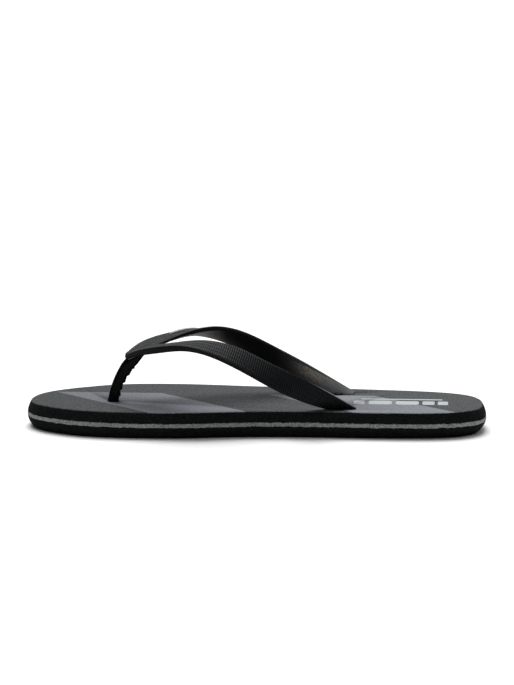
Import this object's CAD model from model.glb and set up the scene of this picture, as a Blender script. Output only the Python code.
"""Looks of a right-foot flip flop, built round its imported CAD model.

Metres, in the CAD frame: the toe points to -X, the inner side is -Y and +Z is up. Every CAD node is replaced
by a finer mesh. The formulas of the outline, the strap, the post and the badge are those of part.py.
"""

import math

import bmesh
import bpy
import numpy as np
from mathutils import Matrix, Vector, noise


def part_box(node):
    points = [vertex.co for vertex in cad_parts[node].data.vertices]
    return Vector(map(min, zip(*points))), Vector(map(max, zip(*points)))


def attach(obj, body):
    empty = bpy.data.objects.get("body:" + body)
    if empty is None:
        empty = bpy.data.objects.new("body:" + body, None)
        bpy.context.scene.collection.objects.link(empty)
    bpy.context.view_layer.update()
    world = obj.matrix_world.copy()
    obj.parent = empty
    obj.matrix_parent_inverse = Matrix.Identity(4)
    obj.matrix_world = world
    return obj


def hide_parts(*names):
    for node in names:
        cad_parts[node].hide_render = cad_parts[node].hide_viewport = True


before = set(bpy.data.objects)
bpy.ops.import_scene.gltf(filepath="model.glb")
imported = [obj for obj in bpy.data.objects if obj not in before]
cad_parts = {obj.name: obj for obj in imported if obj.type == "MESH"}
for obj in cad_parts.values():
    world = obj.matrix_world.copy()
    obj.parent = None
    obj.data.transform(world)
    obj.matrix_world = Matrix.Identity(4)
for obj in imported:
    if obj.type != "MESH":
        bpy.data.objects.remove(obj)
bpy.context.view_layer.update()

MM = 0.001

# Levels of the sole's layers, from the frame.
GROUND_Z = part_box("outsole")[0][2]
OUTSOLE_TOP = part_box("outsole")[1][2]
STRIPE_LOW, STRIPE_TOP = (corner[2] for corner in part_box("stripe_layer"))
TOP_LOW, FOAM_TOP = (corner[2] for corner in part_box("top_layer"))
FILM_LOW, FOOTBED_Z = (corner[2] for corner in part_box("footbed_film"))

# Control polygon of the sole's outline at its widest level, in millimetres, a closed uniform cubic B-spline.
SOLE_POLYGON = (
    (-138.5, -11.0),
    (-129.5, -31.5),
    (-102.5, -47.0),
    (-79.0, -50.5),
    (-41.5, -52.0),
    (-12.0, -43.0),
    (30.0, -39.5),
    (74.5, -42.0),
    (116.0, -40.0),
    (130.5, -28.5),
    (137.0, -17.5),
    (136.0, 18.5),
    (115.5, 34.5),
    (75.5, 39.5),
    (33.0, 44.0),
    (-6.0, 46.0),
    (-44.5, 52.5),
    (-85.0, 50.0),
    (-105.0, 39.0),
    (-133.0, 18.5),
)
STEPS_PER_SPAN = 60
OUTLINE_POINTS = 1400
WIDEST_Z = 7.5 * MM
TOP_INSET = 2.5 * MM
BOTTOM_INSETS = (3.6, 0.8, 3.0, 2.6, 1.7, 1.9, 4.4, 4.8)
CAP_INSET = 3.0 * MM

# Cut foam: how far the wall and the edges between the layers wander, and over what distance.
WALL_STEP = 0.5 * MM
WALL_GRAIN = 0.10 * MM
WALL_GRAIN_SIZE = 1.6 * MM
WALL_SEED = 3
SEAM_WANDER = 0.3 * MM
SEAM_WANDER_SIZE = 4.0 * MM
SEAM_TEETH = 0.30 * MM
SEAM_TEETH_SIZE = 1.2 * MM
LOW_SEAM_SEED = 11
HIGH_SEAM_SEED = 23
EDGE_SEED = 37
# The top layer's upper edge wanders by this share of what a seam does.
EDGE_SHARE = 0.5
FILM_RAGGED = 0.25 * MM
FILM_SEED = 41
LAYER_EDGE_ROUND = 0.12 * MM
# The film's rolled edge, in millimetres: how far in from its widest, and how far down from its face.
FILM_EDGE_INSETS = (0.0, 0.08, 0.25, 0.6, 1.4)
FILM_EDGE_DROPS = (0.30, 0.16, 0.07, 0.02, 0.0)

# Tread.
GROOVE_DEPTH = 1.0 * MM
GROOVE_WIDTH = 2.4 * MM
GROOVE_TAPER = 0.7
GROOVE_PITCH = 10.0 * MM
GROOVE_WAVE = 1.8 * MM
GROOVE_WAVE_LENGTH = 45.0 * MM
GROOVE_STEP = 3.0 * MM
TREAD_LENGTH = 240.0 * MM
TREAD_BORDER = 4.0 * MM

# The yoke's own frame.
POST_X = -84.5 * MM
POST_Y = -12.5 * MM
YOKE_YAW = math.radians(3.5)
YOKE_LEAN = math.radians(0.15)

# Holes, necks and plugs.
NECK_RADIUS = 3.1 * MM
HOLE_CLEARANCE = 0.3 * MM
CUTTER_REACH = 5.0 * MM
PLUG_BOTTOM_Z = 0.7 * MM
PLUG_THICKNESS = 2.2 * MM
PLUG_ROUND = 0.5 * MM
PLUG_DISH = 0.3 * MM
# Shares of a plug's radius: a ring inside its dish, the dish's own edge and the edge of its rim.
DISH_SHARES = (0.5, 0.62, 0.68)
RECESS_DEPTH = 3.0 * MM
REAR_PLUG_RADIUS = 7.3 * MM
POST_PLUG_RADIUS = 8.5 * MM
ANCHOR_ALONG = 134.0 * MM
ANCHOR_OUT = 23.8 * MM
NECK_IN_STRAP = 0.7 * MM
NECK_CONE = 0.6 * MM
ROUND_STEPS = 72

# The arms: along the yoke's axis, out from it, and up from the footbed.
ARM_LINE = (
    (7.7, 1.0, 27.8),
    (18.0, 9.0, 33.5),
    (31.0, 17.0, 36.5),
    (45.0, 24.0, 39.5),
    (59.0, 30.2, 38.4),
    (75.0, 34.5, 32.7),
    (93.0, 35.0, 22.4),
    (115.0, 31.5, 10.3),
    (141.5, 24.0, -2.3),
)
ARM_WIDTHS = (4.0, 11.2, 15.5, 15.4, 15.3, 15.1, 13.9, 12.6, 8.0)
INNER_THICKNESSES = (2.5, 1.7, 1.7, 2.5, 2.7, 2.3, 2.2, 2.2, 2.2)
OUTER_THICKNESSES = (2.5, 3.5, 4.2, 3.5, 2.4, 2.3, 2.2, 2.2, 2.2)
BELLY = 0.8 * MM
INNER_ARM_ROLLS = (10, 4.5, -1.5, 2, 17, 34, 50, 93, 142)
OUTER_ARM_ROLLS = (2, -3, 1, 8, 30, 46, 63, 92, 130)
SLOPE_STEP = 0.001
LINE_SAMPLES = 4001
EDGE_ROUND = 0.6 * MM
WEB_END = 4 / 44
WEB_SLOPE = 0.65
WEB_BLEND = 4.0 * MM
STRAP_LIFT = 0.15 * MM
WELD = 0.001 * MM

# The strap's knurl of staggered diamonds: its pitch along the yoke's axis and across the arm.
KNURL_ALONG = 1.20 * MM
# The diamonds are longer across the arm at the front, where the arm lies flat.
KNURL_FRONT_ACROSS = 7.4 * MM
KNURL_FRONT_END = 50.0 * MM
KNURL_ACROSS = 5.4 * MM
KNURL_REAR_START = 72.0 * MM
KNURL_HEIGHT = 0.55 * MM
# How steeply the diamonds rise from the pits between them.
KNURL_STEEPNESS = 1.6
KNURL_SINK = 0.08 * MM
KNURL_BORDER = 0.25 * MM
KNURL_STEPS = 5
KNURL_COLUMNS = 32
CORNER_STEPS = 4
UNDERSIDE_STEPS = 8
NOSE = 1.3 * MM
NOSE_STEPS = 6
# Shares of the strap's full thickness and width at the very tip.
NOSE_LEAST = 0.3
NOSE_WIDTH = 0.55
EDGE_ROUND_SHARE = 1 / 8

# The toe post.
POST_LINE = ((0.0, 0.3), (0.6, 5.0), (2.6, 11.0), (5.7, 17.0), (9.9, 22.6))
POST_HALF_ALONG = (3.3, 3.1, 3.2, 3.8, 4.8)
POST_HALF_ACROSS = (3.1, 2.8, 2.7, 2.7, 2.8)
POST_STEPS = 130
POST_TEETH = 4
TOOTH_START = 0.13
TOOTH_PITCH = 0.18
TOOTH_HEIGHT = 1.0 * MM
# The share of a tooth's pitch over which it rises.
TOOTH_RISE = 0.16
# The power of a cosine by which a tooth thins out round the post's back.
TOOTH_ROUNDING = 0.5
POST_SHOULDER = 0.15 * MM
POST_HEAD_ALONG = 13.8 * MM
POST_HEAD_HALF_ALONG = 5.9 * MM
POST_HEAD_GAP = 0.35 * MM
POST_HEAD_SLOPE = 0.34
POST_HEAD_STEPS = 10
SQUARENESS = 3.6

# The strap's mesh attributes: depth in the knurl's pits, where the knurl is, and the arms' lower skin.
GROOVE = "groove"
KNURLED = "knurled"
UNDERSIDE = "underside"
# The values of underside at the lower corners of an arm's edges, and between them from the outer edge in.
UNDER_CORNER = 0.5
UNDER_OUTER = 1.0
UNDER_INNER = 2.0
# Along x: from where to where the knurl's pale tops fade.
WEAR_START = -45.0 * MM
WEAR_END = 35.0 * MM
# Along x: from where to where the pale bloom on the strap's lower skin fades.
BLOOM_START = -42.0 * MM
BLOOM_END = -20.0 * MM
# Along x: where the dust on the strap's lower skin sets in, and its rubbed patch.
DUST_START = 5.0 * MM
DUST_FULL = 45.0 * MM
PATCH_START = 16.0 * MM
PATCH_MIDDLE = 28.0 * MM
PATCH_END = 46.0 * MM
# Across the arm, as values of underside: from where to where the rubbed patch sets in.
PATCH_LOW = 1.2
PATCH_HIGH = 1.7

# Badge.
BADGE_START = 0.268
BADGE_END = 0.45
BADGE_WIDTH = 4.2 * MM
BADGE_FRONT_OUT = 0.8 * MM
BADGE_REAR_OUT = 4.4 * MM
BADGE_THICKNESS = 1.4 * MM
BADGE_GAP = 0.15 * MM
BADGE_STEPS = 40
BADGE_ROUND_STEPS = 6
BADGE_DOME = 0.8
BADGE_END_SHAPE = 5
BADGE_END_WIDTH = 0.3
BADGE_END_HEIGHT = 0.35

# Print on the footbed: diagonal bands, which end at a line along the sole.
PRINT_PERIOD = 128.0 * MM
PRINT_START = -107.0 * MM
PRINT_SLANT = 0.97
PRINT_END_Y = 16.0 * MM
# Along x: from where to where the print grows paler.
FILM_FADE = (-110.0 * MM, 90.0 * MM)
# Plain bars at the heel, in millimetres: the middle and half the length of each tall one, and the thin one.
TALL_BARS = ((61.0, 3.2), (73.5, 6.8), (89.5, 6.8), (102.0, 3.6), (110.5, 3.0))
TALL_BAR_Y = -6.0
TALL_BAR_HALF_HEIGHT = 5.6
THIN_BAR = (86.0, 5.2, 24.0, 1.6)
BAR_CORNER = 0.45

# Linear colours, the darker one of a pair first.
BLACK_FOAM = ((0.0008, 0.001, 0.001), (0.019, 0.0205, 0.0205))
GREY_FOAM = ((0.10, 0.106, 0.104), (0.46, 0.48, 0.47))
FOAM_CELL = 0.7 * MM
GREY_FOAM_CELL = 0.8 * MM
INK = (0.0, 0.0, 0.0)
FILM_DARK = (0.0745, 0.0792, 0.082)
FILM_PALE = (0.205, 0.212, 0.237)
BAR_PAINT = (0.42, 0.44, 0.45)
STRAP_SKIN = ((0.004, 0.0042, 0.0045), (0.006, 0.0062, 0.0065))
POST_SKIN = ((0.001, 0.0012, 0.0018), (0.002, 0.0023, 0.0034))
SILVER = ((0.17, 0.17, 0.165), (0.27, 0.27, 0.262))
FLOOR_WHITE = ((0.90, 0.90, 0.90), (0.92, 0.92, 0.92))
# The knurl's tops and pits, at the front and at the rear.
KNURL_TOPS = ((0.0345, 0.038, 0.041), (0.0128, 0.0143, 0.0152))
KNURL_PITS = ((0.0008, 0.001, 0.0011), (0.0056, 0.0065, 0.0071))
# The strap's lower skin: pale bloom at the front, grey dust at the rear and a warm rubbed patch in it.
BLOOM = (0.20, 0.19, 0.17)
DUST = (0.21, 0.214, 0.22)
RUBBED = (1.0, 0.88, 0.75)

# Camera.
CAMERA_AZIMUTH = math.radians(4.25)
CAMERA_ELEVATION = math.radians(9.25)
CAMERA_DISTANCE = 1.8
CAMERA_TARGET = Vector((0.0, 0.0, 0.04937))
CAMERA_LENS = 159.5
FLOOR_HALF = 30.0

# Light: the world's strength at the horizon and overhead, its factors in front, behind, on the toe's side and
# on the heel's side, and a soft sun.
WORLD_HORIZON = 0.10
WORLD_TOP = 0.9
WORLD_FRONT = 0.15
WORLD_BACK = 1.2
WORLD_TOE = 0.65
WORLD_HEEL = 1.35
KEY_STRENGTH = 3.6
KEY_ANGLE = math.radians(45.0)
KEY_TURN = (math.radians(-32.0), math.radians(-8.0), 0.0)


# --- Curves and meshes -------------------------------------------------------------------------------------


def b_spline(control, t):
    """Points of a uniform cubic B-spline at t from 0 to 1, whose ends are the end control points."""
    control = np.array(control, float)
    if control.ndim == 1:
        control = control[:, None]
    first = 2 * control[0] - control[1]
    last = 2 * control[-1] - control[-2]
    padded = np.vstack([first, control, last])
    spans = len(control) - 1
    u = np.atleast_1d(t) * spans
    span = np.minimum(u.astype(int), spans - 1)
    f = (u - span)[:, None]
    return (
        (1 - f) ** 3 * padded[span]
        + (3 * f**3 - 6 * f**2 + 4) * padded[span + 1]
        + (-3 * f**3 + 3 * f**2 + 3 * f + 1) * padded[span + 2]
        + f**3 * padded[span + 3]
    ) / 6


def sole_outline():
    """The sole's widest outline, counter-clockwise, with its points evenly spaced."""
    polygon = np.array(SOLE_POLYGON) * MM
    closed = np.vstack([polygon[-1:], polygon, polygon[:2]])
    points = []
    for span in range(len(polygon)):
        corners = closed[span : span + 4]
        for step in range(STEPS_PER_SPAN):
            f = step / STEPS_PER_SPAN
            weights = ((1 - f) ** 3, 3 * f**3 - 6 * f**2 + 4, -3 * f**3 + 3 * f**2 + 3 * f + 1, f**3)
            points.append(np.dot(weights, corners) / 6)
    points = np.vstack([points, points[:1]])
    reach = np.concatenate([[0], np.cumsum(np.linalg.norm(np.diff(points, axis=0), axis=1))])
    places = np.linspace(0, reach[-1], OUTLINE_POINTS, endpoint=False)
    return np.column_stack([np.interp(places, reach, points[:, i]) for i in (0, 1)])


def outline_inwards(outline):
    """Unit vectors that point into the sole from each point of its outline."""
    along = np.roll(outline, -1, axis=0) - np.roll(outline, 1, axis=0)
    along /= np.linalg.norm(along, axis=1)[:, None]
    return np.column_stack([-along[:, 1], along[:, 0]])


def edge_inset(outline, z):
    """How far the sole's wall stands in from each point of its widest outline at height z."""
    if z > WIDEST_Z:
        return np.full(len(outline), TOP_INSET * ((z - WIDEST_Z) / (FOOTBED_Z - WIDEST_Z)) ** 2)
    toe, heel = outline[:, 0].min(), outline[:, 0].max()
    bottom_inset = b_spline(BOTTOM_INSETS, (outline[:, 0] - toe) / (heel - toe))[:, 0] * MM
    return bottom_inset * ((WIDEST_Z - z) / WIDEST_Z) ** 2


def wander(points, size, seed):
    """Smooth noise from -1 to 1 at each point, whose bumps are about size across."""
    shift = Vector((seed * 17.3, seed * 5.1, seed * 9.7))
    return np.array([noise.noise(Vector(p) / size + shift) for p in points])


def mesh_object(name, points, faces, finish, smooth_angle=35.0):
    """A linked object, smooth but for edges sharper than smooth_angle degrees."""
    mesh = bpy.data.meshes.new(name)
    mesh.from_pydata([tuple(p) for p in points], [], [tuple(f) for f in faces])
    work = bmesh.new()
    work.from_mesh(mesh)
    bmesh.ops.recalc_face_normals(work, faces=work.faces)
    work.to_mesh(mesh)
    work.free()
    mesh.shade_smooth()
    mesh.set_sharp_from_angle(angle=math.radians(smooth_angle))
    obj = bpy.data.objects.new(name, mesh)
    bpy.context.scene.collection.objects.link(obj)
    if finish:
        mesh.materials.append(finish)
    return obj


def loft(rings):
    """Points and faces of a closed body through rings of equal length, capped at both ends."""
    count = len(rings[0])
    points = [p for ring in rings for p in ring]
    faces = []
    for level in range(len(rings) - 1):
        low = level * count
        high = low + count
        for i in range(count):
            j = (i + 1) % count
            faces.append((low + i, low + j, high + j, high + i))
    faces.append(tuple(reversed(range(count))))
    faces.append(tuple(range(len(points) - count, len(points))))
    return points, faces


def merged(bodies):
    """One list of points and one of faces, from several closed bodies."""
    points, faces = [], []
    for body_points, body_faces in bodies:
        faces += [tuple(i + len(points) for i in face) for face in body_faces]
        points += list(body_points)
    return points, faces


def cut(obj, points, faces):
    """Cuts a body away from obj, and leaves no modifier and no cutter behind."""
    cutter = mesh_object("cutter", points, faces, None)
    step = obj.modifiers.new("cut", "BOOLEAN")
    step.operation = "DIFFERENCE"
    step.solver = "EXACT"
    step.object = cutter
    evaluated = obj.evaluated_get(bpy.context.evaluated_depsgraph_get())
    result = bpy.data.meshes.new_from_object(evaluated)
    obj.modifiers.clear()
    obj.data = result
    bpy.data.objects.remove(cutter, do_unlink=True)


def finished(obj, node):
    """Puts a finished piece in place of its CAD node."""
    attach(obj, "root")
    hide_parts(node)
    return obj


# --- Materials ---------------------------------------------------------------------------------------------


class Nodes:
    """Makes a material's nodes. Its textures use the object's own coordinates, in metres."""

    def __init__(self, name):
        self.material = bpy.data.materials.new(name)
        self.material.use_nodes = True
        self.tree = self.material.node_tree
        self.shader = self.tree.nodes["Principled BSDF"]
        self.place = self.tree.nodes.new("ShaderNodeTexCoord").outputs["Object"]

    def put(self, value, socket):
        if isinstance(value, bpy.types.NodeSocket):
            self.tree.links.new(value, socket)
        else:
            socket.default_value = value

    def set(self, **values):
        """Sets the shader's sockets, named with _ for a space."""
        for name, value in values.items():
            self.put(value, self.shader.inputs[name.replace("_", " ")])

    def math(self, operation, *values):
        node = self.tree.nodes.new("ShaderNodeMath")
        node.operation = operation
        for value, socket in zip(values, node.inputs):
            self.put(value, socket)
        return node.outputs[0]

    def axes(self):
        node = self.tree.nodes.new("ShaderNodeSeparateXYZ")
        self.put(self.place, node.inputs[0])
        return node.outputs

    def noise(self, size, detail=3.0, roughness=0.55, long=1.0):
        """Noise from 0 to 1 whose bumps are about size across in metres, and long times that along y."""
        place = self.tree.nodes.new("ShaderNodeMapping")
        place.inputs["Scale"].default_value = (1.0, 1 / long, 1.0)
        self.put(self.place, place.inputs["Vector"])
        node = self.tree.nodes.new("ShaderNodeTexNoise")
        self.put(place.outputs["Vector"], node.inputs["Vector"])
        node.inputs["Scale"].default_value = 1 / size
        node.inputs["Detail"].default_value = detail
        node.inputs["Roughness"].default_value = roughness
        return node.outputs["Fac"]

    def cells(self, size, feature="F1"):
        node = self.tree.nodes.new("ShaderNodeTexVoronoi")
        node.feature = feature
        self.put(self.place, node.inputs["Vector"])
        node.inputs["Scale"].default_value = 1 / size
        return node.outputs["Distance"]

    def attribute(self, name):
        node = self.tree.nodes.new("ShaderNodeAttribute")
        node.attribute_name = name
        return node.outputs["Fac"]

    def ramp(self, value, low, high, to_low=0.0, to_high=1.0):
        node = self.tree.nodes.new("ShaderNodeMapRange")
        for number, socket in zip((value, low, high, to_low, to_high), node.inputs):
            self.put(number, socket)
        return node.outputs[0]

    def mix(self, factor, first, second):
        node = self.tree.nodes.new("ShaderNodeMix")
        node.data_type = "RGBA"
        for name, value in (("Factor_Float", factor), ("A_Color", first), ("B_Color", second)):
            socket = next(s for s in node.inputs if s.identifier == name)
            self.put((*value, 1.0) if isinstance(value, tuple) else value, socket)
        return next(s for s in node.outputs if s.identifier == "Result_Color")

    def bump(self, height, distance, strength=1.0, under=None):
        node = self.tree.nodes.new("ShaderNodeBump")
        node.inputs["Strength"].default_value = strength
        node.inputs["Distance"].default_value = distance
        self.put(height, node.inputs["Height"])
        if under:
            self.put(under, node.inputs["Normal"])
        return node.outputs[0]


def foam_material(name, dark, light, cell_size, specular):
    """Die-cut closed-cell foam: fine cells, some of them torn open and darker, and a soft mottle."""
    nodes = Nodes(name)
    mottle = nodes.noise(4.0 * MM, 4.0)
    grain = nodes.noise(cell_size, 2.0, 0.7)
    pits = nodes.ramp(nodes.cells(cell_size * 1.6), 0.05, 0.45)
    tone = nodes.math("MULTIPLY", nodes.ramp(grain, 0.3, 0.7), nodes.ramp(mottle, 0.2, 0.8, 0.55, 1.0))
    tone = nodes.math("MULTIPLY", tone, nodes.ramp(pits, 0.0, 1.0, 0.6, 1.0))
    fine = nodes.bump(grain, 0.12 * MM, 0.8)
    nodes.set(
        Base_Color=nodes.mix(tone, dark, light),
        Roughness=nodes.ramp(mottle, 0.2, 0.8, 0.8, 0.95),
        Specular_IOR_Level=specular,
        Normal=nodes.bump(pits, 0.15 * MM, 0.6, fine),
    )
    return nodes.material


def film_material():
    """Printed film with a pebble grain: dark grey, with lighter diagonal bands and plain bars at the heel."""
    nodes = Nodes("footbed_print")
    x, y, _ = nodes.axes()
    slant = nodes.math("MULTIPLY_ADD", y, PRINT_SLANT, x)
    from_start = nodes.math("SUBTRACT", slant, PRINT_START)
    phase = nodes.math("FRACT", nodes.math("DIVIDE", from_start, PRINT_PERIOD))
    band = nodes.math("LESS_THAN", phase, 0.5)
    light = nodes.math("MULTIPLY", band, nodes.math("LESS_THAN", y, PRINT_END_Y))
    speckle = nodes.noise(1.1 * MM, 2.0, 0.7, 3.0)
    cloud = nodes.noise(22.0 * MM, 2.0)
    clouds = nodes.ramp(cloud, 0.3, 0.7, 0.94, 1.0)
    fade = nodes.math("MULTIPLY", clouds, nodes.ramp(x, *FILM_FADE, 0.76, 1.03))
    dark_tone = nodes.math("MULTIPLY", nodes.ramp(speckle, 0.35, 0.65, 0.4, 1.25), fade)
    pale_tone = nodes.math("MULTIPLY", nodes.ramp(speckle, 0.35, 0.65, 0.72, 1.05), fade)
    dark = nodes.mix(dark_tone, INK, FILM_DARK)
    pale = nodes.mix(pale_tone, INK, FILM_PALE)
    colour = nodes.mix(light, dark, pale)
    worn = nodes.ramp(nodes.noise(0.9 * MM, 3.0, 0.7), 0.25, 0.45)
    for bar in heel_bars():
        printed = nodes.math("MULTIPLY", bar_mask(nodes, x, y, *bar), worn)
        colour = nodes.mix(printed, colour, BAR_PAINT)
    grain = nodes.ramp(nodes.cells(0.8 * MM, "SMOOTH_F1"), 0.1, 0.6)
    fine = nodes.bump(grain, 0.06 * MM, 0.7)
    nodes.set(
        Base_Color=colour,
        Roughness=nodes.ramp(speckle, 0.3, 0.7, 0.7, 0.85),
        Specular_IOR_Level=0.08,
        Normal=nodes.bump(speckle, 0.03 * MM, 0.5, fine),
    )
    return nodes.material


def heel_bars():
    """Plain rounded bars at the heel, as (middle x, middle y, half length, half height) in metres."""
    bars = [(middle, TALL_BAR_Y, half, TALL_BAR_HALF_HEIGHT) for middle, half in TALL_BARS]
    bars.append(THIN_BAR)
    return [tuple(size * MM for size in bar) for bar in bars]


def bar_mask(nodes, x, y, middle_x, middle_y, half_x, half_y):
    """1 inside a bar with round corners, and 0 outside it."""
    corner = min(half_x, half_y) * BAR_CORNER

    def past(axis, middle, half):
        from_middle = nodes.math("ABSOLUTE", nodes.math("SUBTRACT", axis, middle))
        return nodes.math("MAXIMUM", nodes.math("SUBTRACT", from_middle, half - corner), 0.0)

    across = past(x, middle_x, half_x)
    upward = past(y, middle_y, half_y)
    squares = nodes.math("MULTIPLY_ADD", across, across, nodes.math("MULTIPLY", upward, upward))
    return nodes.math("LESS_THAN", nodes.math("SQRT", squares), corner)


def rubber_material(name, dark, light, low_roughness, high_roughness, specular):
    """Moulded soft PVC: almost even in colour, with faint cloudy patches of gloss and a very fine skin."""
    nodes = Nodes(name)
    cloud = nodes.noise(6.0 * MM, 4.0)
    skin = nodes.noise(0.25 * MM, 2.0, 0.6)
    nodes.set(
        Base_Color=nodes.mix(nodes.ramp(cloud, 0.3, 0.7), dark, light),
        Roughness=nodes.ramp(cloud, 0.3, 0.7, low_roughness, high_roughness),
        Specular_IOR_Level=specular,
        Normal=nodes.bump(skin, 0.02 * MM, 0.6),
    )
    return nodes


def strap_material():
    """The strap's rubber: paler diamonds with black pits between them, and a dusty, rubbed skin below."""
    nodes = rubber_material("strap_rubber", *STRAP_SKIN, 0.45, 0.56, 0.07)
    skin = nodes.shader.inputs["Base Color"].links[0].from_socket
    groove = nodes.attribute(GROOVE)
    x, _, _ = nodes.axes()
    worn = nodes.ramp(x, WEAR_START, WEAR_END)
    top = nodes.mix(worn, *KNURL_TOPS)
    pit = nodes.mix(worn, *KNURL_PITS)
    diamond = nodes.mix(nodes.ramp(groove, 0.2, 0.55), top, pit)
    knurled = nodes.ramp(nodes.attribute(KNURLED), 0.4, 0.9)
    colour = nodes.mix(knurled, skin, diamond)
    rear = nodes.ramp(x, DUST_START, DUST_FULL)
    rising = nodes.ramp(x, PATCH_START, PATCH_MIDDLE)
    falling = nodes.ramp(x, PATCH_MIDDLE, PATCH_END, 1.0, 0.0)
    under = nodes.attribute(UNDERSIDE)
    streak = nodes.ramp(under, PATCH_LOW, PATCH_HIGH)
    patch = nodes.math("MULTIPLY", nodes.math("MULTIPLY", rising, falling), streak)
    mottle = nodes.ramp(nodes.noise(0.9 * MM, 3.0, 0.7), 0.36, 0.56)
    dust = nodes.mix(nodes.math("MULTIPLY", patch, mottle), DUST, RUBBED)
    front = nodes.ramp(x, BLOOM_START, BLOOM_END, 1.0, 0.0)
    between = nodes.ramp(under, UNDER_CORNER, UNDER_OUTER)
    colour = nodes.mix(nodes.math("MULTIPLY", between, front), colour, BLOOM)
    below = nodes.ramp(under, 0.0, UNDER_CORNER)
    dusty = nodes.math("MULTIPLY", below, nodes.math("MULTIPLY", rear, rear))
    nodes.set(Base_Color=nodes.mix(dusty, colour, dust))
    return nodes.material


def silver_material():
    """Silver paint on a moulded bar, with a fine metal flake and rubbed patches."""
    nodes = Nodes("badge_silver")
    flake = nodes.noise(0.3 * MM, 2.0, 0.8)
    rubbed = nodes.noise(1.8 * MM, 3.0)
    nodes.set(
        Base_Color=nodes.mix(nodes.ramp(flake, 0.3, 0.7), *SILVER),
        Roughness=nodes.ramp(rubbed, 0.3, 0.7, 0.35, 0.5),
        Metallic=0.1,
        Normal=nodes.bump(flake, 0.02 * MM, 0.5),
    )
    return nodes.material


# --- Sole --------------------------------------------------------------------------------------------------


def wall_rings(low, high, low_wander, high_wander):
    """Rings of a layer's wall. Its two edges wander up and down as the knife left them."""
    outline = sole_outline()
    inwards = outline_inwards(outline)
    steps = max(3, round((high - low) / WALL_STEP))
    rings = [flat_ring(outline, inwards, low)]
    for share in np.linspace(0, 1, steps + 1):
        level = low + (high - low) * share
        shift = low_wander * (1 - share) + high_wander * share
        z = level + shift
        from_edge = min(share, 1 - share) * (high - low)
        round_off = LAYER_EDGE_ROUND * max(0.0, 1 - from_edge / (2 * LAYER_EDGE_ROUND)) ** 2
        grain = WALL_GRAIN * wander(np.column_stack([outline, z]), WALL_GRAIN_SIZE, WALL_SEED)
        inset = edge_inset(outline, level) + round_off - grain
        rings.append(np.column_stack([outline + inwards * inset[:, None], z]))
    rings.append(flat_ring(outline, inwards, high))
    return rings


def flat_ring(outline, inwards, z):
    """A level ring just inside a layer's wall, so that the layer's wide faces are flat."""
    inset = edge_inset(outline, z) + CAP_INSET
    return np.column_stack([outline + inwards * inset[:, None], np.full(len(outline), z)])


def seam_wander(seed):
    """How far a seam between two layers wanders up and down, along the outline."""
    outline = sole_outline()
    flat = np.column_stack([outline, np.zeros(len(outline))])
    slow = SEAM_WANDER * wander(flat, SEAM_WANDER_SIZE, seed)
    quick = SEAM_TEETH * wander(flat, SEAM_TEETH_SIZE, seed + 1)
    return slow + quick


def disc_ring(x, y, z, radius):
    """A level ring of points round (x, y)."""
    turns = np.linspace(0, 2 * math.pi, ROUND_STEPS, endpoint=False)
    return [(x + radius * math.cos(a), y + radius * math.sin(a), z) for a in turns]


def yoke_to_world(along, out, up, side):
    """World place of a point in the yoke's frame. Side is -1 for the inner arm and 1 for the outer one."""
    cos, sin = math.cos(YOKE_YAW), math.sin(YOKE_YAW)
    x = POST_X + along * cos - side * out * sin
    y = POST_Y + along * sin + side * out * cos
    return (x, y, FOOTBED_Z + up + side * out * math.sin(YOKE_LEAN))


def anchors():
    """World (x, y) and plug radius of the three holes, the toe post's first."""
    places = [(POST_X, POST_Y, POST_PLUG_RADIUS)]
    for side in (-1, 1):
        x, y, _ = yoke_to_world(ANCHOR_ALONG, ANCHOR_OUT, 0.0, side)
        places.append((x, y, REAR_PLUG_RADIUS))
    return places


def hole_pins():
    """A stepped pin for each hole: a wide recess for the plug, and a hole for its neck above it."""
    pins = []
    for x, y, plug_radius in anchors():
        recess = plug_radius + HOLE_CLEARANCE
        hole = NECK_RADIUS + HOLE_CLEARANCE
        rings = [
            disc_ring(x, y, GROUND_Z - CUTTER_REACH, recess),
            disc_ring(x, y, RECESS_DEPTH, recess),
            disc_ring(x, y, RECESS_DEPTH, hole),
            disc_ring(x, y, FOOTBED_Z + CUTTER_REACH, hole),
        ]
        pins.append(loft(rings))
    return merged(pins)


def tread_bars():
    """Wavy bars that cut the grooves from the outsole's underside."""
    outline = sole_outline()
    edge = outline + outline_inwards(outline) * (edge_inset(outline, GROUND_Z) + TREAD_BORDER)[:, None]
    count = int(TREAD_LENGTH / GROOVE_PITCH)
    half, deep = GROOVE_WIDTH / 2, GROOVE_DEPTH
    narrow = half * GROOVE_TAPER
    bars = []
    for groove in range(count + 1):
        middle = (groove - count / 2) * GROOVE_PITCH
        ends = []
        for side in (edge[edge[:, 1] < 0], edge[edge[:, 1] >= 0]):
            order = np.argsort(side[:, 0])
            ends.append(np.interp(middle, side[order, 0], side[order, 1]))
        rings = []
        for y in np.linspace(*ends, math.ceil((ends[1] - ends[0]) / GROOVE_STEP) + 1):
            x = middle + GROOVE_WAVE * math.sin(2 * math.pi * y / GROOVE_WAVE_LENGTH)
            corners = ((-half, -deep), (half, -deep), (narrow, deep), (-narrow, deep))
            rings.append([(x + dx, y, GROUND_Z + z) for dx, z in corners])
        bars.append(loft(rings))
    return merged(bars)


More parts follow.
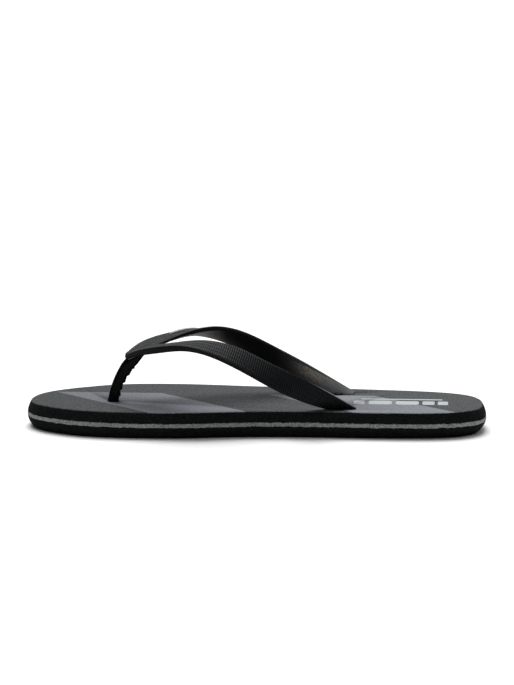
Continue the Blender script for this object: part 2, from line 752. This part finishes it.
def make_sole():
    """The three foam layers, with the tread below and the holes for the plugs, and the film on top."""
    black = foam_material("black_foam", *BLACK_FOAM, FOAM_CELL, 0.03)
    grey = foam_material("grey_foam", *GREY_FOAM, GREY_FOAM_CELL, 0.06)
    still = np.zeros(OUTLINE_POINTS)
    low_seam = seam_wander(LOW_SEAM_SEED)
    high_seam = seam_wander(HIGH_SEAM_SEED)
    edge_seam = EDGE_SHARE * seam_wander(EDGE_SEED)
    layers = (
        ("outsole", GROUND_Z, OUTSOLE_TOP, still, low_seam, black),
        ("stripe_layer", STRIPE_LOW, STRIPE_TOP, low_seam, high_seam, grey),
        ("top_layer", TOP_LOW, FOAM_TOP, high_seam, edge_seam, black),
    )
    pins = hole_pins()
    for node, low, high, low_wander, high_wander, finish in layers:
        layer = mesh_object(node + "_foam", *loft(wall_rings(low, high, low_wander, high_wander)), finish)
        if node == "outsole":
            cut(layer, *tread_bars())
        cut(layer, *pins)
        finished(layer, node)
    make_film(edge_seam, pins)


def make_film(edge_seam, pins):
    """The printed film, whose edge rolls over a little where the knife pressed it down."""
    outline = sole_outline()
    inwards = outline_inwards(outline)
    level = np.column_stack([outline, np.zeros(len(outline))])
    ragged = FILM_RAGGED * wander(level, SEAM_TEETH_SIZE, FILM_SEED)
    rings = [flat_ring(outline, inwards, FILM_LOW)]
    inset = edge_inset(outline, FILM_LOW) - ragged
    rings.append(np.column_stack([outline + inwards * inset[:, None], FILM_LOW + edge_seam]))
    for extra, drop in zip(FILM_EDGE_INSETS, FILM_EDGE_DROPS):
        share = drop / FILM_EDGE_DROPS[0]
        inset = edge_inset(outline, FOOTBED_Z) + extra * MM - ragged * share
        z = FOOTBED_Z - drop * MM + edge_seam * share
        rings.append(np.column_stack([outline + inwards * inset[:, None], z]))
    film = mesh_object("printed_footbed", *loft(rings), film_material(), smooth_angle=60.0)
    cut(film, *pins)
    finished(film, "footbed_film")


# --- Strap -------------------------------------------------------------------------------------------------


def arm_frames(t, rolls, lift=0.0):
    """An arm's middle line, unit vectors across and out of its face, and width, in the yoke's frame."""
    middle = b_spline(ARM_LINE, t) * MM
    width = b_spline(ARM_WIDTHS, t)[:, 0] * MM
    roll = np.radians(b_spline(rolls, t)[:, 0])[:, None]
    ahead = b_spline(ARM_LINE, np.minimum(t + SLOPE_STEP, 1.0))
    behind = b_spline(ARM_LINE, np.maximum(t - SLOPE_STEP, 0.0))
    along = ahead - behind
    along /= np.linalg.norm(along, axis=1)[:, None]
    level = np.cross((0.0, 0.0, 1.0), along)
    level /= np.linalg.norm(level, axis=1)[:, None]
    upright = np.cross(along, level)
    across = np.cos(roll) * level - np.sin(roll) * upright
    face = np.cross(along, across)
    return middle + face * lift, across, face, width


def arm_places():
    """The t of each ring and its distance from the tip. The first rings are close together, for the nose."""
    t = np.linspace(0, 1, LINE_SAMPLES)
    line = b_spline(ARM_LINE, t) * MM
    reach = np.concatenate([[0], np.cumsum(np.linalg.norm(np.diff(line, axis=0), axis=1))])
    step = KNURL_ALONG / KNURL_STEPS
    nose = NOSE * (1 - np.cos(np.linspace(0, math.pi / 2, NOSE_STEPS, endpoint=False)))
    web_reach = np.interp(WEB_END, t, reach)
    in_web = np.linspace(NOSE, web_reach, round((web_reach - NOSE) / step))
    behind = np.arange(web_reach + step, reach[-1], step)
    places = np.concatenate([nose, in_web, behind])
    return np.interp(places, reach, t), places, len(nose) + len(in_web) - 1


def knurl(along, across):
    """Height of the staggered diamonds, from 0 in the pits to 1 on top. Their rows follow the yoke's axis."""
    places = (KNURL_FRONT_END, KNURL_REAR_START)
    pitch = np.interp(along, places, (KNURL_FRONT_ACROSS, KNURL_ACROSS))
    rising = along / KNURL_ALONG + across / pitch
    falling = along / KNURL_ALONG - across / pitch
    waves = abs(rising - np.round(rising)) + abs(falling - np.round(falling))
    return np.clip(0.5 + KNURL_STEEPNESS * (waves - 0.5), 0, 1)


def arm_section(inner, outer, inner_round, outer_round, inner_deep, outer_deep, along, lean, squash):
    """An arm's section: up the inner wall, over the face and back below.

    Each point is (across, out of the face, groove, knurled). Groove is 1 in the knurl's pits and 0 on top of
    its diamonds and on the smooth skin, and knurled is 1 on the face's knurl. Along is where the section's
    middle is on the yoke's axis, and lean how much that changes across it.
    """
    turns = np.linspace(0, math.pi / 2, CORNER_STEPS + 1)
    inner_top = [
        (inner + inner_round * (1 - math.cos(a)), inner_round * (math.sin(a) - 1), 0.0, 0.0)
        for a in turns
    ]
    low, high = inner + inner_round, outer - outer_round
    across = np.linspace(low, high, KNURL_COLUMNS + 2)[1:-1]
    from_edge = np.minimum(across - inner, outer - across)
    fade = np.clip((from_edge - KNURL_BORDER) / KNURL_BORDER, 0, 1)
    height = knurl(along + lean * across, across)
    raised = (KNURL_HEIGHT * height - KNURL_SINK) * fade
    face = list(zip(across, raised, (1 - height) * fade, fade))
    outer_top = [
        (outer - outer_round * (1 - math.sin(a)), outer_round * (math.cos(a) - 1), 0.0, 0.0)
        for a in turns
    ]
    outer_low = [
        (outer - outer_round * (1 - math.cos(a)), outer_round * (1 - math.sin(a)) - outer_deep, 0.0, 0.0)
        for a in turns
    ]
    under = []
    for share in np.linspace(0, 1, UNDERSIDE_STEPS + 2)[1:-1]:
        place = 2 * share - 1
        deep = outer_deep + (inner_deep - outer_deep) * share
        under.append((high + (low - high) * share, -deep - BELLY * (1 - place**2), 0.0, 0.0))
    inner_low = [
        (inner + inner_round * (1 - math.sin(a)), inner_round * (1 - math.cos(a)) - inner_deep, 0.0, 0.0)
        for a in turns
    ]
    section = np.array(inner_top + face + outer_top + outer_low + under + inner_low)
    middle = -(inner_deep + outer_deep) / 4
    section[:, 1] = middle + (section[:, 1] - middle) * squash
    return section


def arm_rings(side, t, places, web):
    """Rings of one arm in the yoke's frame, and their points' (groove, knurled).

    A web ring starts on the yoke's axis.
    """
    rolls = INNER_ARM_ROLLS if side < 0 else OUTER_ARM_ROLLS
    middle, across, face, width = arm_frames(t, rolls)
    inner_deep = b_spline(INNER_THICKNESSES, t)[:, 0] * MM
    outer_deep = b_spline(OUTER_THICKNESSES, t)[:, 0] * MM
    notch = None
    rings, skins = [], []
    for k in range(len(t)):
        half = width[k] / 2
        natural = middle[k, 1] - across[k, 1] * half
        if k <= web:
            wall = 0.0
            inner_round = 0.0
        else:
            opening = (middle[k, 0] - across[k, 0] * half - notch) * WEB_SLOPE
            wall = max(0.0, min(natural, opening))
            inner_round = EDGE_ROUND * min(1.0, (places[k] - places[web]) / WEB_BLEND)
        inner = (wall - middle[k, 1]) / across[k, 1] if wall < natural or k <= web else -half
        if k <= web:
            notch = middle[k, 0] + across[k, 0] * inner
        nose = min(1.0, places[k] / NOSE)
        rounding = math.sqrt(1 - (1 - nose) ** 2)
        squash = NOSE_LEAST + (1 - NOSE_LEAST) * rounding
        outer = half * (NOSE_WIDTH + (1 - NOSE_WIDTH) * rounding)
        outer_round = min(EDGE_ROUND, width[k] * EDGE_ROUND_SHARE)
        deeps = (inner_deep[k], outer_deep[k])
        line = (middle[k, 0], across[k, 0])
        section = arm_section(inner, outer, inner_round, outer_round, *deeps, *line, squash)
        rings.append(middle[k] + np.outer(section[:, 0], across[k]) + np.outer(section[:, 1], face[k]))
        skins.append(section[:, 2:])
    return np.array(rings), np.array(skins)


def underside_points(count):
    """Which of a section's points are on the arm's lower side, with the lower corners of its two edges."""
    return np.arange(count) >= count - UNDERSIDE_STEPS - 2 * (CORNER_STEPS + 1)


def join_arms(arms, places, web):
    """Moves both arms' rings so that they meet on the yoke's axis. The shift fades away from the axis."""
    count = arms[1].shape[1]
    lower_half = underside_points(count)
    rows = {side: arms[side].copy() for side in (-1, 1)}
    for k in range(len(places)):
        near = min(k, web)
        fade = math.exp(-(places[k] - places[near]) / WEB_BLEND)
        for side in (-1, 1):
            ring = rows[side][k]
            shifts = []
            for edge in (0, count - 1):
                shared = (rows[-1][near, edge] + rows[1][near, edge]) / 2
                shared[1] = 0.0
                shifts.append((shared - rows[side][near, edge]) * fade)
            away = np.where(
                lower_half,
                np.linalg.norm(ring - ring[count - 1], axis=1),
                np.linalg.norm(ring - ring[0], axis=1),
            )
            closeness = np.clip(1 - away / WEB_BLEND, 0, 1) ** 2
            shift = np.where(lower_half[:, None], shifts[1], shifts[0])
            arms[side][k] = ring + shift * closeness[:, None]
    return arms


def strap_skin(arms, web):
    """Points and faces of both arms, which share their points on the yoke's axis in the web."""
    rings, count = arms[1].shape[:2]
    points, faces = [], []
    for side in (-1, 1):
        first = len(points)
        points += [yoke_to_world(*p, side) for ring in arms[side] for p in ring]
        for k in range(rings - 1):
            for i in range(count):
                if k < web and i == count - 1:
                    continue
                j = (i + 1) % count
                low = first + k * count
                faces.append((low + i, low + j, low + count + j, low + count + i))
        faces.append(tuple(range(first + (rings - 1) * count, first + rings * count)))
    outer_first = rings * count
    faces.append((*range(count), *(outer_first + i for i in range(count - 2, 0, -1))))
    return points, faces


def cut_level(mesh, z):
    """Welds a mesh, removes what is below a level and closes the cut."""
    work = bmesh.new()
    work.from_mesh(mesh)
    bmesh.ops.remove_doubles(work, verts=work.verts, dist=WELD)
    everything = [*work.verts, *work.edges, *work.faces]
    bmesh.ops.bisect_plane(work, geom=everything, plane_co=(0, 0, z), plane_no=(0, 0, 1), clear_inner=True)
    bmesh.ops.holes_fill(work, edges=[edge for edge in work.edges if edge.is_boundary], sides=0)
    bmesh.ops.recalc_face_normals(work, faces=work.faces)
    work.to_mesh(mesh)
    work.free()


def plug_rings(x, y, plug_radius, neck_top):
    """A plug under the sole with a rounded rim, and the neck above it."""
    top = PLUG_BOTTOM_Z + PLUG_THICKNESS
    inside, dish, rim = (plug_radius * share for share in DISH_SHARES)
    rings = [
        disc_ring(x, y, PLUG_BOTTOM_Z + PLUG_DISH, inside),
        disc_ring(x, y, PLUG_BOTTOM_Z + PLUG_DISH, dish),
        disc_ring(x, y, PLUG_BOTTOM_Z, rim),
    ]
    for a in np.linspace(0, math.pi / 2, CORNER_STEPS + 1):
        reach = plug_radius - PLUG_ROUND * (1 - math.sin(a))
        rings.append(disc_ring(x, y, PLUG_BOTTOM_Z + PLUG_ROUND * (1 - math.cos(a)), reach))
    rings.append(disc_ring(x, y, top, plug_radius))
    rings.append(disc_ring(x, y, top, NECK_RADIUS))
    rings.append(disc_ring(x, y, neck_top, NECK_RADIUS))
    return rings


def rear_plug(x, y, plug_radius):
    """A strap end's plug and neck. The neck's round top is buried in the arm."""
    neck_top = FOOTBED_Z + NECK_IN_STRAP
    rings = plug_rings(x, y, plug_radius, neck_top)
    for a in np.linspace(0, math.pi / 2, CORNER_STEPS + 2)[1:-1]:
        rings.append(disc_ring(x, y, neck_top + NECK_CONE * math.sin(a), NECK_RADIUS * math.cos(a)))
    return loft(rings)


def make_strap():
    """Both arms with their web, rear necks and plugs. Returns the arms' rings, which the post's head fits."""
    rubber = strap_material()
    t, places, web = arm_places()
    arms = {}
    for side in (-1, 1):
        arms[side], skins = arm_rings(side, t, places, web)
    arms = join_arms(arms, places, web)
    strap = mesh_object("y_strap", *strap_skin(arms, web), rubber, smooth_angle=50.0)
    count = skins.shape[1]
    under = np.where(underside_points(count), UNDER_CORNER, 0.0)
    last = count - CORNER_STEPS - 1
    under[last - UNDERSIDE_STEPS : last] = np.linspace(UNDER_OUTER, UNDER_INNER, UNDERSIDE_STEPS)
    under = np.tile(under, (skins.shape[0], 1))
    for attribute, values in ((GROOVE, skins[:, :, 0]), (KNURLED, skins[:, :, 1]), (UNDERSIDE, under)):
        layer = strap.data.attributes.new(attribute, "FLOAT", "POINT")
        layer.data.foreach_set("value", np.tile(values.ravel().astype(np.float32), 2))
    cut_level(strap.data, FOOTBED_Z + STRAP_LIFT)
    plugs = mesh_object("plugs", *merged([rear_plug(*place) for place in anchors()[1:]]), rubber)
    join_meshes(strap, plugs)
    finished(strap, "strap")
    return arms


def join_meshes(obj, other):
    """Adds another object's mesh to obj, and removes the other object."""
    work = bmesh.new()
    work.from_mesh(obj.data)
    work.from_mesh(other.data)
    work.to_mesh(obj.data)
    work.free()
    bpy.data.objects.remove(other, do_unlink=True)


# --- Toe post ----------------------------------------------------------------------------------------------


def post_section(angle, half_along, half_across):
    """A point of the post's rounded-square section, as (along, across)."""
    cos, sin = math.cos(angle), math.sin(angle)
    reach = (abs(cos) ** SQUARENESS + abs(sin) ** SQUARENESS) ** (-1 / SQUARENESS)
    return half_along * reach * cos, half_across * reach * sin


def tooth(t):
    """Height of the saw teeth on the back of the post: each one rises quickly and then falls away slowly."""
    step = (t - TOOTH_START) / TOOTH_PITCH
    if not 0 <= step < POST_TEETH + TOOTH_RISE:
        return 0.0
    part = step % 1
    if part < TOOTH_RISE:
        return TOOTH_HEIGHT * part / TOOTH_RISE
    return TOOTH_HEIGHT * (1 - part) / (1 - TOOTH_RISE)


def web_underside(arms, along):
    """Height of the web's underside on the yoke's axis at a distance along it."""
    edge = (arms[-1][:, -1] + arms[1][:, -1]) / 2
    return np.interp(along, edge[:, 0], edge[:, 2])


def make_toe_post(arms):
    """The post with its plug and neck, its saw teeth, and a head that meets the web's underside."""
    rubber = rubber_material("post_rubber", *POST_SKIN, 0.25, 0.36, 0.05)
    rings = [
        [(*yoke_to_world(along, out, 0.0, 1)[:2], z) for along, out, z in ring]
        for ring in plug_rings(0.0, 0.0, POST_PLUG_RADIUS, FOOTBED_Z + POST_SHOULDER)
    ]
    t = np.linspace(0, 1, POST_STEPS + 1)
    line = b_spline(POST_LINE, t) * MM
    half_along = b_spline(POST_HALF_ALONG, t)[:, 0] * MM
    half_across = b_spline(POST_HALF_ACROSS, t)[:, 0] * MM
    turns = np.linspace(0, 2 * math.pi, ROUND_STEPS, endpoint=False)
    body = []
    for k, (along, up) in enumerate(line):
        ring = []
        for angle in turns:
            forward, across = post_section(angle, half_along[k], half_across[k])
            forward += tooth(t[k]) * max(0.0, math.cos(angle)) ** TOOTH_ROUNDING
            ring.append((along + forward, across, up))
        body.append(np.array(ring))
    head = []
    for angle in turns:
        forward, across = post_section(angle, POST_HEAD_HALF_ALONG, half_across[-1])
        along = POST_HEAD_ALONG + forward
        up = web_underside(arms, along) - POST_HEAD_GAP - POST_HEAD_SLOPE * abs(across)
        head.append((along, across, up))
    head = np.array(head)
    for share in np.linspace(0, 1, POST_HEAD_STEPS + 1)[1:]:
        body.append(body[POST_STEPS] * (1 - share) + head * share)
    rings += [[yoke_to_world(*p, 1) for p in ring] for ring in body]
    post = mesh_object("ribbed_toe_post", *loft(rings), rubber.material, smooth_angle=40.0)
    return finished(post, "toe_post")


# --- Badge -------------------------------------------------------------------------------------------------


def make_badge():
    """A small plain bar with round ends, which follows the face of the outer arm."""
    t = np.linspace(BADGE_START, BADGE_END, BADGE_STEPS + 1)
    middle, across, face, _ = arm_frames(t, OUTER_ARM_ROLLS, BADGE_GAP)
    rings = []
    for k in range(BADGE_STEPS + 1):
        place = abs(2 * k / BADGE_STEPS - 1)
        out = BADGE_FRONT_OUT + (BADGE_REAR_OUT - BADGE_FRONT_OUT) * k / BADGE_STEPS
        rounding = math.sqrt(max(0.0, 1 - place**BADGE_END_SHAPE))
        half = BADGE_WIDTH / 2 * max(BADGE_END_WIDTH, rounding)
        height = BADGE_THICKNESS * max(BADGE_END_HEIGHT, rounding)
        ring = []
        for a in np.linspace(0, math.pi, 2 * BADGE_ROUND_STEPS + 1):
            u = half * math.copysign(abs(math.cos(a)) ** BADGE_DOME, math.cos(a))
            v = height * math.sin(a) ** BADGE_DOME
            ring.append(yoke_to_world(*(middle[k] + across[k] * (out + u) + face[k] * v), 1))
        rings.append(ring)
    badge = mesh_object("plain_badge", *loft(rings), silver_material(), smooth_angle=40.0)
    return finished(badge, "strap_badge")


# --- Stage -------------------------------------------------------------------------------------------------


def make_floor():
    """A plain pale floor under the sole."""
    signs = ((-1, -1), (1, -1), (1, 1), (-1, 1))
    corners = [(x * FLOOR_HALF, y * FLOOR_HALF, GROUND_Z) for x, y in signs]
    nodes = Nodes("pale_floor")
    nodes.set(
        Base_Color=nodes.mix(nodes.noise(0.3), *FLOOR_WHITE),
        Roughness=0.9,
        Specular_IOR_Level=0.1,
    )
    floor = mesh_object("floor", corners, [(0, 1, 2, 3)], nodes.material)


def make_world():
    """A studio that is bright above and behind and dim on the camera's side. The camera sees it as white."""
    world = bpy.data.worlds.new("studio")
    bpy.context.scene.world = world
    world.use_nodes = True
    tree = world.node_tree
    background = tree.nodes["Background"]
    place = tree.nodes.new("ShaderNodeTexCoord").outputs["Generated"]
    axes = tree.nodes.new("ShaderNodeSeparateXYZ")
    tree.links.new(place, axes.inputs[0])

    def ramp(value, low, high, to_low, to_high):
        node = tree.nodes.new("ShaderNodeMapRange")
        tree.links.new(value, node.inputs[0])
        for number, socket in zip((low, high, to_low, to_high), list(node.inputs)[1:]):
            socket.default_value = number
        return node.outputs[0]

    def math_node(operation, first, second):
        node = tree.nodes.new("ShaderNodeMath")
        node.operation = operation
        for value, socket in ((first, node.inputs[0]), (second, node.inputs[1])):
            tree.links.new(value, socket)
        return node.outputs[0]

    upward = ramp(axes.outputs[2], 0.0, 1.0, WORLD_HORIZON, WORLD_TOP)
    depth = ramp(axes.outputs[1], -1.0, 1.0, WORLD_FRONT, WORLD_BACK)
    sideways = ramp(axes.outputs[0], -1.0, 1.0, WORLD_TOE, WORLD_HEEL)
    lit = math_node("MULTIPLY", math_node("MULTIPLY", upward, depth), sideways)
    seen = tree.nodes.new("ShaderNodeLightPath").outputs["Is Camera Ray"]
    strength = math_node("MAXIMUM", lit, seen)
    tree.links.new(strength, background.inputs["Strength"])
    background.inputs["Color"].default_value = (1.0, 1.0, 1.0, 1.0)


def make_lights():
    """A wide soft light from above and behind."""
    key = bpy.data.lights.new("overhead", "SUN")
    key.energy = KEY_STRENGTH
    key.angle = KEY_ANGLE
    lamp = bpy.data.objects.new("overhead", key)
    lamp.rotation_euler = KEY_TURN
    bpy.context.scene.collection.objects.link(lamp)


def make_camera():
    """The photo's view: from the inner side, a little above the footbed."""
    data = bpy.data.cameras.new("camera")
    data.lens = CAMERA_LENS
    camera = bpy.data.objects.new("camera", data)
    flat = math.cos(CAMERA_ELEVATION)
    back = Vector(
        (math.sin(CAMERA_AZIMUTH) * flat, -math.cos(CAMERA_AZIMUTH) * flat, math.sin(CAMERA_ELEVATION))
    )
    camera.location = CAMERA_TARGET + back * CAMERA_DISTANCE
    camera.rotation_mode = "QUATERNION"
    camera.rotation_quaternion = (-back).to_track_quat("-Z", "Y")
    bpy.context.scene.collection.objects.link(camera)
    bpy.context.scene.camera = camera
    bpy.context.scene.view_settings.view_transform = "Standard"


make_camera()
make_world()
make_lights()
make_floor()
make_sole()
make_toe_post(make_strap())
make_badge()
